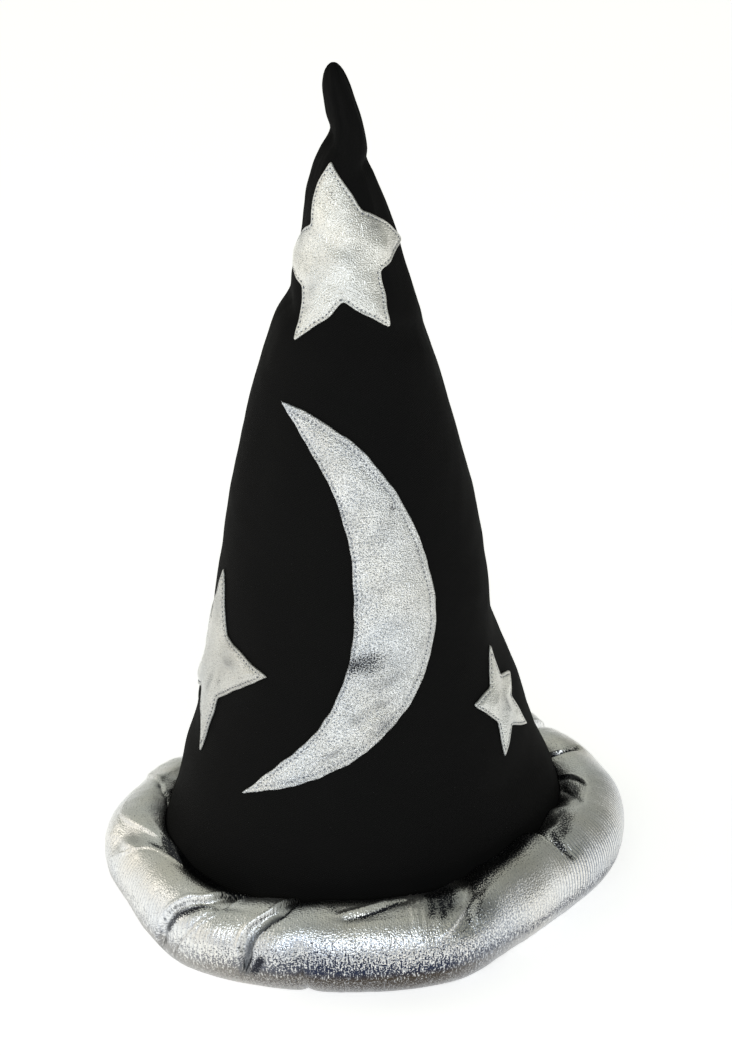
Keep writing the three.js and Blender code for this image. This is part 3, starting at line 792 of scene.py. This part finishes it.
def rollPoint(bearing, turn):
    # A point on the roll's cover, and how far it lies from the crown.
    rows = np.array(rollShape["sections"], float)
    loop = np.vstack([rows + (whole, 0, 0) for whole in (-360, 0, 360)])
    halfWidth, sag = rollShape["section"] / 2, rollShape["sag"]
    middle = smoothCurve(bearing, loop[:, 0], loop[:, 1]) - halfWidth
    halfHeight = (smoothCurve(bearing, loop[:, 0], loop[:, 2]) + sag) / 2
    alongHat, alongSection = np.radians(bearing) * rollShape["meanReach"], turn * rollShape["mmPerTurn"]
    wrinkle = wavyCloth(alongHat, alongSection, rollShape["waves"])
    seamWrinkle = wavyCloth(alongHat, alongSection, rollShape["seamWaves"]) * smoothStep(turn, 90, 150)
    lifted = foldHeight(bearing, turn) + (wrinkle + seamWrinkle) * smoothStep(turn, -80, -30)
    shrink = 1 + lifted / halfHeight
    angle = np.radians(turn)
    height = np.maximum(0, halfHeight - sag + shrink * halfHeight * np.sin(angle))
    reach = middle + shrink * halfWidth * np.cos(angle)
    wall = crownReach(bearing, height) + rollShape["seamGap"]
    out = np.maximum(reach, wall)
    ahead = np.radians(bearing)
    place = np.stack([out * np.sin(ahead), -out * np.cos(ahead), height], axis=-1)
    return place, out - wall


def makeRoll(material):
    sheet = flatSheet(rollShape["around"], rollShape["sectionSteps"])
    places = sheetPlaces(sheet)
    bearing = 360 * places[:, 0] - 180
    turn = np.interp(places[:, 1], rollShape["shares"], rollShape["turns"])
    mapped = np.stack([np.radians(bearing) * rollShape["meanReach"], turn * rollShape["mmPerTurn"]], axis=-1)
    setMap(sheet, mapped * toMetres)
    points, fromSeam = rollPoint(bearing, turn)
    moveTo(sheet, points)
    # The crease layer holds painted shade in creases and beside the crown, the other broad painted shade.
    shades = {"crease": paintedCreaseShade(bearing, turn, fromSeam), "shadeAndTone": coverPaintedShade(bearing, turn)}
    for kind, values in shades.items():
        layer = sheet.verts.layers.float.new(kind)
        for vert, value in zip(sheet.verts, values):
            vert[layer] = value
    bmesh.ops.remove_doubles(sheet, verts=sheet.verts, dist=0.01)
    bmesh.ops.recalc_face_normals(sheet, faces=sheet.faces)
    piece = finishPiece(sheet, "roll_cover", material, ["brim_roll"])
    return piece


shapeCloth = {
    "seamGap": 0.4,
    "edge": 0.8,          # how thick the turned edge is
    "crown": 1.4,         # how far the padding lifts the middle above it
    "softness": 4.0,      # how far in from the stitches the padding reaches its height
    "stitchLength": 1.0,
    "stitchGap": 1.1,
    "thread": 0.24,
    "threadSunk": 0.12,
    "hemDarker": 0.15,     # how much duller the cloth is outside the stitches
    "grooveDepth": 0.6,
    "grooveWidth": 0.8,
    "wavering": 0.22,     # how far the edge strays, and over what length
    "waverLength": 12,
    "blunt": 1.3,         # how far along the edge a corner is rounded
    "edgeRings": (0.25, 0.6, 1.0, 1.45, 1.9, 2.35, 2.8, 3.25),
    "step": 0.9,          # between the points of its mesh
    "unevenFading": 0.07,
}
onEdge = 0.06      # a point nearer to the edge than this is on it

# A shape's places are across and up from its middle. A row of wrinkles, of painted shadow spots (dark places)
# or of painted shade (darker places) gives a place, a heading, a half length, a half width, and a height or a
# strength.
stars = [
    {
        "name": "star_upper", "bearing": -5.8, "height": 317.6, "slope": 12.5, "seed": 21, "hem": (1.5, 0.2),
        # clock angle and reach of each arm's tip, then of the notch after it, then how far the two edges
        # after the tip and after the notch bulge
        "arms": [
            (-7, 39, 30, 20.5, 0.6, 1.6),
            (80, 34, 115, 18, 0.8, -0.4),
            (147, 38.5, 181, 21, 0.6, 0.6),
            (207, 44, 232, 25, 0.4, 0.3),
            (268, 40, 308, 19, 0.8, 1.6),
        ],
        "paintedShadowSpots": [(12, 16, 8, 8, 0.7, 0.35), (14, 13.5, 6, 8, 0.6, 0.3), (-3, 24, 95, 6, 3, 0.25)],
        "shadeAndToneLevel": 0.05,
        "paintedShadeRows": [(14, 12, 100, 9, 6, 0.25), (-14, -16, 60, 8, 4, 0.25), (-22, 6, 90, 10, 4, 0.2),
                      (4, 2, 30, 10, 8, 0.12), (-18, -26, 60, 8, 4, 0.2)],
        "wrinkles": [
            (12, 17, 8, 9, 1.0, -0.4), (14, 14.5, 6, 9, 1.0, 0.5), (15, 12, 4, 8, 1.0, -0.35),
            (-15, -9, 60, 7, 5, 0.9), (10, -14, 110, 8, 5, 0.7), (0, 2, 20, 12, 5, -0.7),
            (-6, 16, 100, 9, 4, 0.6), (18, 3, 70, 7, 3, 0.5), (-3, -12, 30, 8, 3, -0.5),
            (-22, -22, 50, 9, 2.5, 0.5), (3, 26, 95, 8, 2, -0.4),
        ],
    },
    {
        "name": "star_left", "bearing": -70.2, "height": 122.7, "slope": 12, "seed": 22, "hem": (1.6, 0.2),
        "arms": [
            (-3, 45, 35, 22, 0.4, 0.2),
            (75, 45, 134, 19, 0.3, 0.2),
            (168, 44, 200, 19, 0.4, 0.2),
            (232, 44, 263, 20, 0.4, 0.2),
            (295, 44, 326, 20, 0.4, 0.2),
        ],
        "paintedShadowSpots": [(14, -4, 60, 8, 2.5, 0.3), (2, -26, 95, 7, 2, 0.3)],
        "shadeAndToneLevel": 0.32,
        "paintedShadeRows": [(6, -8, 80, 10, 3, 0.3), (20, 8, 10, 10, 4, 0.25)],
        "wrinkles": [
            (0, 0, 40, 14, 5, 0.6), (14, 4, 70, 10, 3, -0.6), (8, -16, 120, 10, 2.5, 0.5),
            (22, 8, 15, 9, 2, 0.4), (-8, 18, 100, 12, 3, -0.5), (2, -26, 95, 9, 2, -0.4),
        ],
    },
    {
        "name": "star_right", "bearing": 65, "height": 105, "slope": 14, "seed": 23, "hem": (1.5, 0.2),
        "arms": [
            (10, 27, 40, 12, 0.3, 0.2),
            (76, 22, 106, 12, 0.3, 0.2),
            (136, 32, 168, 15, 0.4, 0.2),
            (200, 27.5, 228, 11, 0.3, 0.2),
            (289, 22, 328, 11, 0.3, 0.2),
        ],
        "paintedShadowSpots": [(2, -2, 80, 8, 2, 0.3), (5, 3, 20, 4, 1.5, 0.3)],
        "shadeAndToneLevel": 0.05,
        "paintedShadeRows": [(2, -2, 80, 9, 4, 0.2)],
        "wrinkles": [
            (0, 2, 70, 8, 2.5, -0.6), (4, -8, 110, 8, 2, 0.5), (-7, 2, 20, 6, 2, 0.4),
            (6, 6, 40, 6, 1.6, -0.4),
        ],
    },
]

moon = {
    "name": "crescent_moon", "bearing": 15.7, "height": 165, "slope": 12, "seed": 24,
    "hem": (2.3, 0.8),     # how wide it is, and how much wider on the right and narrower on the left
    "topTip": (-45.4, 94.6),
    "bottomTip": (-77.2, -83.5),
    # how far down the line between the horns' tips, and out from it, the inner and the outer edge are
    "sections": [
        (0, 0, 0, 0),
        (0.04, 9, 0.02, 20),
        (0.11, 20.5, 0.08, 40.4),
        (0.2, 31.3, 0.18, 58.5),
        (0.3, 39, 0.3, 73),
        (0.4, 43.2, 0.43, 82.3),
        (0.5, 45.4, 0.56, 85.3),
        (0.6, 46, 0.68, 78.3),
        (0.7, 42.2, 0.78, 65),
        (0.8, 32.5, 0.87, 47.5),
        (0.9, 16.5, 0.945, 25),
        (1, 0, 1, 0),
    ],
    "paintedShadowSpots": [
        (-11, -22, 15, 14, 9, 0.46), (-18, -24, 60, 8, 5, 0.36), (-21, -42, 60, 4, 3, 0.32),
        (4, 46, -60, 4, 2.2, 0.55), (-19, 46, 70, 4, 2.0, 0.5), (-6, 62, -52, 12, 1.4, 0.4),
        (-18, 10, 80, 24, 4, 0.16), (-16, -8, 80, 12, 6, 0.2), (8, -8, 95, 20, 3, 0.1),
    ],
    "shadeAndToneLevel": 0.03,
    "paintedShadeRows": [
        (-10, -23, 15, 14, 8, 0.3), (-2, -31.5, 20, 12, 5, 0.42), (-7.5, -42, 20, 12, 5, 0.42),
        (-18.5, -47, 20, 8, 4.5, 0.4), (-7, -51, 35, 10, 5.5, 0.4), (-32, -63, 28, 12, 3.5, 0.34),
        (-22, 0, 88, 40, 5, 0.1), (-25, 74, -60, 16, 8, 0.2), (-14, 40, 95, 10, 6, 0.2),
        (0, 38, 60, 14, 5, 0.16),
    ],
    "wrinkles": [
        (-12, -21, 20, 10, 6, -1.5), (-10, -27, 20, 10, 3, 0.9), (-4, -29, 24, 10, 2.2, 0.7),
        (-2, -34, 26, 11, 1.8, -0.6), (-3, -39, 24, 12, 2.0, 0.6), (-8, -44, 28, 12, 1.8, -0.6),
        (-12, -50, 30, 12, 2.2, 0.6), (-22, -54, 32, 12, 2.0, -0.6), (-30, -60, 30, 10, 2.0, 0.6),
        (-38, -66, 26, 12, 2.0, -0.5), (-52, -74, 22, 14, 1.8, 0.4), (4, 45, -60, 4, 2.4, -1.0),
        (-19, 46, 70, 4, 2.4, -0.9), (-6, 62, -52, 11, 1.2, -0.7), (-9, 60, -52, 11, 2.0, 0.4),
        (-2, 22, 60, 18, 6, 0.5), (6, -2, 100, 20, 5, 0.5), (-12, 6, 80, 16, 4, -0.5),
        (-24, 72, -60, 12, 3, -0.4),
    ],
}


def clockPoint(clock, reach):
    return np.array([math.sin(math.radians(clock)), math.cos(math.radians(clock))]) * reach


def starEdge(star):
    corners, bulges = [], []
    for tip, reach, notch, waist, tipBulge, notchBulge in star["arms"]:
        corners += [clockPoint(tip, reach), clockPoint(notch, waist)]
        bulges += [tipBulge, notchBulge]
    edge = []
    for start, end, bulge in zip(corners, corners[1:] + corners[:1], bulges):
        along = (end - start) / np.linalg.norm(end - start)
        outwards = np.array([-along[1], along[0]])
        for t in np.arange(0, 1, 0.02):
            edge.append(start + (end - start) * t + outwards * bulge * 4 * t * (1 - t))
    return np.array(edge)


def moonEdge(shape):
    top, bottom = np.array(shape["topTip"]), np.array(shape["bottomTip"])
    down = bottom - top
    out = np.array([-down[1], down[0]]) / np.linalg.norm(down)
    rows = np.array(shape["sections"], float)
    order = np.arange(len(rows))
    at = np.linspace(0, len(rows) - 1, 220)

    def side(downColumn, outColumn):
        share = smoothCurve(at, order, rows[:, downColumn])
        away = smoothCurve(at, order, rows[:, outColumn])
        return top + share[:, None] * down + away[:, None] * out

    outer, inner = side(2, 3), side(0, 1)
    return np.vstack([outer[:-1], inner[:0:-1]])


def evenlySpaced(edge, step):
    # The closed edge again, with its points a step apart.
    closed = np.vstack([edge, edge[:1]])
    run = np.concatenate([[0], np.cumsum(np.linalg.norm(np.diff(closed, axis=0), axis=1))])
    at = np.linspace(0, run[-1], int(run[-1] / step), endpoint=False)
    return np.stack([np.interp(at, run, closed[:, 0]), np.interp(at, run, closed[:, 1])], axis=-1)


def blunted(edge, reach, step=0.1):
    # The closed edge with its corners rounded, each point being the middle of its neighbourhood.
    fine = evenlySpaced(edge, step)
    steps = int(reach / step)
    return sum(np.roll(fine, shift, axis=0) for shift in range(-steps, steps + 1)) / (2 * steps + 1)


def inwards(edge):
    ahead = np.roll(edge, -1, axis=0) - np.roll(edge, 1, axis=0)
    ahead /= np.linalg.norm(ahead, axis=1)[:, None]
    return np.stack([ahead[:, 1], -ahead[:, 0]], axis=-1)


def inside(points, edge):
    # Whether each point lies within the closed edge.
    following = np.roll(edge, -1, axis=0)
    crossings = np.zeros(len(points), int)
    for start, end in zip(edge, following):
        spans = (start[1] > points[:, 1]) != (end[1] > points[:, 1])
        rise = (end[1] - start[1]) or 1e-9
        crossing = start[0] + (points[:, 1] - start[1]) * (end[0] - start[0]) / rise
        crossings += spans & (points[:, 0] < crossing)
    return crossings % 2 == 1


def edgeFinder(edge, step=0.1):
    # Tells how far points lie from the edge, and how far along it the nearest place is.
    fine = evenlySpaced(edge, step)
    tree = kdtree.KDTree(len(fine))
    for index, point in enumerate(fine):
        tree.insert((point[0], point[1], 0), index)
    tree.balance()

    def find(points):
        found = [tree.find((x, y, 0)) for x, y in points]
        return np.array([hit[2] for hit in found]), np.array([hit[1] for hit in found]) * step

    return find


def wrapped(shape, x, y, lift):
    # Where a place in the flat cloth lies once it is wrapped round the crown.
    slope = math.radians(shape["slope"])
    apex = float(crownColumn(1, shape["height"])) / math.sin(slope)
    fromApex = np.hypot(x, apex - y)
    around = np.arctan2(x, apex - y) / math.sin(slope)
    bearing = shape["bearing"] + np.degrees(around)
    height = shape["height"] + (apex - fromApex) * math.cos(slope)
    return crownPoint(bearing, height, lift + clothCreases(bearing, height))


def rowShare(row, x, y):
    # How much of a wrinkle or blot there is at each place.
    atX, atY, heading, length, width, _ = row
    cos, sin = math.cos(math.radians(heading)), math.sin(math.radians(heading))
    along, across = (x - atX) * cos + (y - atY) * sin, (y - atY) * cos - (x - atX) * sin
    return bell(along / length) * bell(across / width)


def stitchPlace(shape, edge):
    # How far in from each point of the edge the stitches run.
    middle, more = shape["hem"]
    return middle - more * inwards(edge)[:, 0]


def faceLift(shape, x, y, away, run, stitched):
    # How far the padded face stands off its back.
    cloth = shapeCloth
    edge = cloth["edge"] * np.sqrt(np.clip(1 - (1 - np.clip(away / cloth["edge"], 0, 1)) ** 2, 0, 1))
    past = np.maximum(away - stitched, 0)
    padding = cloth["crown"] * (1 - np.exp(-past / cloth["softness"]))
    byStitch = 0.7 + 0.3 * np.cos(2 * math.pi * run / (cloth["stitchLength"] + cloth["stitchGap"]))
    groove = cloth["grooveDepth"] * bell((away - stitched) / cloth["grooveWidth"]) * byStitch
    seed = shape["seed"]
    pucker = softNoise(run, 0 * run, 7, seed) * np.exp(-past / 4) * smoothStep(past, 0, 1.5)
    uneven = softNoise(x, y, 16, seed + 1) * smoothStep(past, 0, 6)
    small = softNoise(x, y, 6, seed + 2) * smoothStep(past, 0, 3)
    height = edge + padding - groove + 0.22 * pucker + 0.28 * uneven + 0.1 * small
    for row in shape["wrinkles"]:
        height = height + row[-1] * rowShare(row, x, y) * smoothStep(past, 0, 3)
    return np.where(away > 1e-6, np.maximum(height, 0.05), 0)


def sewnEdge(shape, edge):
    # The drawn edge with blunt corners, straying a little as cloth that was cut by hand.
    cloth = shapeCloth
    edge = evenlySpaced(blunted(edge, cloth["blunt"]), cloth["step"])
    edgeRun = np.arange(len(edge)) * cloth["step"]
    stray = softNoise(edgeRun, 0 * edgeRun, cloth["waverLength"], shape["seed"] + 3)
    return edge + inwards(edge) * (cloth["wavering"] * stray)[:, None], edgeRun


def flatCloth(edge, find):
    # The flat cloth's points and triangles: rings along the edge, and an even lattice within them.
    rings, step = shapeCloth["edgeRings"], shapeCloth["step"]
    points = [edge]
    for away in rings:
        ring = edge + inwards(edge) * away
        points.append(ring[(find(ring)[0] > away - onEdge) & inside(ring, edge)])
    low, high = edge.min(axis=0), edge.max(axis=0)
    x, y = np.meshgrid(np.arange(low[0], high[0], step), np.arange(low[1], high[1], step * 0.866))
    x = x + (np.arange(len(x)) % 2)[:, None] * step / 2
    lattice = np.stack([x.ravel(), y.ravel()], axis=-1)
    lattice = lattice[inside(lattice, edge)]
    points.append(lattice[find(lattice)[0] > rings[-1] + 0.5 * step])
    border = [[i, (i + 1) % len(edge)] for i in range(len(edge))]
    made = delaunay_2d_cdt([Vector(point) for point in np.vstack(points)], border, [], 1, 1e-4)
    return np.array([point[:] for point in made[0]]), made[2]


def clothShades(shape, x, y, outside):
    # How much painted shadow and painted shade the cloth has at each place, from 0 to 1; the shade also holds
    # a random unevenness and a darker hem.
    dark = sum(row[-1] * rowShare(row, x, y) for row in shape["paintedShadowSpots"])
    shadeAndToneLevel = shape["shadeAndToneLevel"] + shapeCloth["hemDarker"] * smoothStep(outside, -0.3, 0.3)
    shadeAndToneLevel = shadeAndToneLevel + shapeCloth["unevenFading"] * softNoise(x, y, 20, shape["seed"] + 4)
    return dark, np.clip(shadeAndToneLevel + sum(row[-1] * rowShare(row, x, y) for row in shape["paintedShadeRows"]), 0, 1)


def makeShape(shape, edge, material):
    seamGap = shapeCloth["seamGap"]
    edge, edgeRun = sewnEdge(shape, edge)
    find = edgeFinder(edge)
    places, faces = flatCloth(edge, find)
    x, y = places.T
    away, run = find(places)
    stitched = np.interp(run, edgeRun, stitchPlace(shape, edge))
    lift = faceLift(shape, x, y, np.where(away < onEdge, 0, away), run, stitched)
    dark, shadeAndToneLevel = clothShades(shape, x, y, stitched - away)

    mesh = bmesh.new()
    layer = mesh.loops.layers.uv.new("cloth")
    # The crease layer holds the painted shadow spots, the other the painted shade with its random unevenness.
    crease, shadeAndTone = (mesh.verts.layers.float.new(kind) for kind in ("crease", "shadeAndTone"))
    for raised in (seamGap + lift, np.full(len(places), seamGap)):     # the padded face, then the back
        verts = [mesh.verts.new(spot) for spot in wrapped(shape, x, y, raised)]
        for vert, depth, shadeAndToneHere in zip(verts, dark, shadeAndToneLevel):
            vert[crease], vert[shadeAndTone] = depth, shadeAndToneHere
        for corners in faces:
            face = mesh.faces.new([verts[i] for i in corners])
            for loop, i in zip(face.loops, corners):
                loop[layer].uv = places[i] * toMetres
    bmesh.ops.remove_doubles(mesh, verts=mesh.verts, dist=0.01)
    bmesh.ops.recalc_face_normals(mesh, faces=mesh.faces)
    piece = finishPiece(mesh, shape["name"] + "_cloth", material, [shape["name"]])
    return edge, find


def makeStitches(shape, edge, find, material):
    # Short lengths of thread along the edge, each sunk at its ends.
    cloth = shapeCloth
    spacing = cloth["stitchLength"] + cloth["stitchGap"]
    lift = cloth["seamGap"] + cloth["edge"] - cloth["threadSunk"]
    step = 0.1
    fine = evenlySpaced(edge, step)
    stitched = stitchPlace(shape, fine)
    inner = fine + inwards(fine) * stitched[:, None]
    mesh = bmesh.new()
    for start in range(0, len(fine) - 30, int(spacing / step)):
        ends = inner[[start, min(start + int(cloth["stitchLength"] / step), len(inner) - 1)]]
        away, run = find(ends)
        if away.min() < stitched[start] - 0.15:     # a sharp corner leaves no room for it
            continue
        a, b = (Vector(point) for point in wrapped(shape, ends[:, 0], ends[:, 1], lift))
        above = Vector(wrapped(shape, ends[:1, 0], ends[:1, 1], lift + 1)[0]) - a
        along = (b - a).normalized()
        side = above.cross(along).normalized()
        turned = Matrix((side, along, side.cross(along))).transposed().to_4x4()
        sized = Matrix.Diagonal((cloth["thread"], (b - a).length / 2, cloth["thread"] * 0.8, 1))
        bmesh.ops.create_icosphere(mesh, subdivisions=1, radius=1,
                                   matrix=Matrix.Translation((a + b) / 2) @ turned @ sized)
    return finishPiece(mesh, shape["name"] + "_stitches", material)


view = {
    "focalPixels": 2400, "imageHeight": 1056, "sensor": 36,
    "down": 24, "place": (0, -1.0186, 0.6315),
}

studio = {
    "floorSize": 40.0,
    "floor": (0.86, 0.86, 0.86, 1),
    "floorLight": (0.88, 0.88, 0.88, 1),
    "floorGlow": 0.62,
    # the room's light: a grey ceiling and walls, a bright cream wall on the left, a darker end in front, and
    # a grey right side that is a little darker higher up
    "ceiling": (0.43, 0.44, 0.385, 1),
    "walls": (0.41, 0.42, 0.375, 1),
    "leftWall": (0.88, 0.855, 0.79, 1),
    "darkEnd": (0.13, 0.15, 0.21, 1),
    # Each part of the room lies where a component of the way to it is between two values.
    "ceilingFrom": (0.54, 0.64),
    "leftFrom": (0.25, 0.50),
    "backFrom": (0.45, 0.62),
    "endFrom": (0.66, 0.86),
    "rightLow": (0.31, 0.31, 0.285, 1),
    "rightHigh": (0.26, 0.27, 0.24, 1),
    "rightFrom": (0.06, 0.42),
    "rightUpTo": (0.0, 0.5),
    # name, place, aimed at, width, depth, watts, colour
    "lights": [
        ("front_soft", (0.0, -2.7, 1.55), (0, 0, 0.1), 2.6, 1.0, 27, (0.90, 0.96, 1.0)),
        ("left_soft", (-2.6, 0.4, 1.5), (0, 0, 0.15), 1.4, 1.2, 5, (1.0, 0.93, 0.82)),
    ],
}


def makeStudio():
    floor = bmesh.new()
    bmesh.ops.create_grid(floor, x_segments=1, y_segments=1, size=studio["floorSize"] / 2)
    data = bpy.data.meshes.new("studio_floor")
    floor.to_mesh(data)
    floor.free()
    paper = Finish("studio_paper", {
        "Roughness": 0.9, "Specular IOR Level": 0.1,
        "Emission Color": (1, 1, 1, 1), "Emission Strength": studio["floorGlow"]})
    place = paper.node("ShaderNodeTexCoord", output=3)
    tone = paper.noise(place, 3.0)
    data.materials.append(paper.surface(Base_Color=paper.mix(tone, studio["floor"], studio["floorLight"])))
    surface = bpy.data.objects.new("studio_floor", data)
    bpy.context.scene.collection.objects.link(surface)

    world = bpy.data.worlds.new("studio_world")
    bpy.context.scene.world = world
    world.use_nodes = True
    room = Finish("", {"Strength": 1.0}, world, "Background")
    way = room.node("ShaderNodeTexCoord")
    right, back, up = (room.part(way, axis) for axis in range(3))
    left = room.between(0 - right, *studio["leftFrom"]) * (1 - room.between(back, *studio["backFrom"]))
    tone = room.mix(left, studio["walls"], studio["leftWall"])
    tone = room.mix(room.between(0 - back, *studio["endFrom"]), tone, studio["darkEnd"])
    tone = room.mix(room.between(up, *studio["ceilingFrom"]), tone, studio["ceiling"])
    shade = room.mix(room.between(up, *studio["rightUpTo"]), studio["rightLow"], studio["rightHigh"])
    room.surface(Color=room.mix(room.between(right, *studio["rightFrom"]), tone, shade))

    for name, spot, aim, width, depth, watts, colour in studio["lights"]:
        light = bpy.data.lights.new(name, "AREA")
        light.shape = "RECTANGLE"
        light.size, light.size_y = width, depth
        light.energy = watts
        light.color = colour
        lamp = bpy.data.objects.new(name, light)
        lamp.location = spot
        lamp.rotation_euler = (Vector(aim) - Vector(spot)).to_track_quat("-Z", "Y").to_euler()
        bpy.context.scene.collection.objects.link(lamp)


def makeCamera():
    data = bpy.data.cameras.new("photo_camera")
    data.sensor_width = view["sensor"]
    data.lens = view["focalPixels"] / view["imageHeight"] * view["sensor"]
    data.clip_end = studio["floorSize"]
    camera = bpy.data.objects.new("photo_camera", data)
    camera.location = view["place"]
    camera.rotation_euler = (math.radians(90 - view["down"]), 0, 0)
    bpy.context.scene.collection.objects.link(camera)
    bpy.context.scene.camera = camera
    bpy.context.scene.view_settings.view_transform = "Standard"


makeStudio()
makeCamera()
print("studio ready")

cotton = blackCotton()
rollLame = silverLame("silver_lame_roll", rollLook, rollUnderShade)
moonLame = silverLame("silver_lame_moon", moonLook)
starLame = silverLame("silver_lame_stars", starLook)
thread = stitchThread()
print("cloths ready")

makeCrown(cotton)
makeRoll(rollLame)
shapes = [(moon, moonEdge(moon), moonLame)]
shapes += [(star, starEdge(star), starLame) for star in stars]
for shape, outline, lame in shapes:
    edge, find = makeShape(shape, outline, lame)
    makeStitches(shape, edge, find, thread)
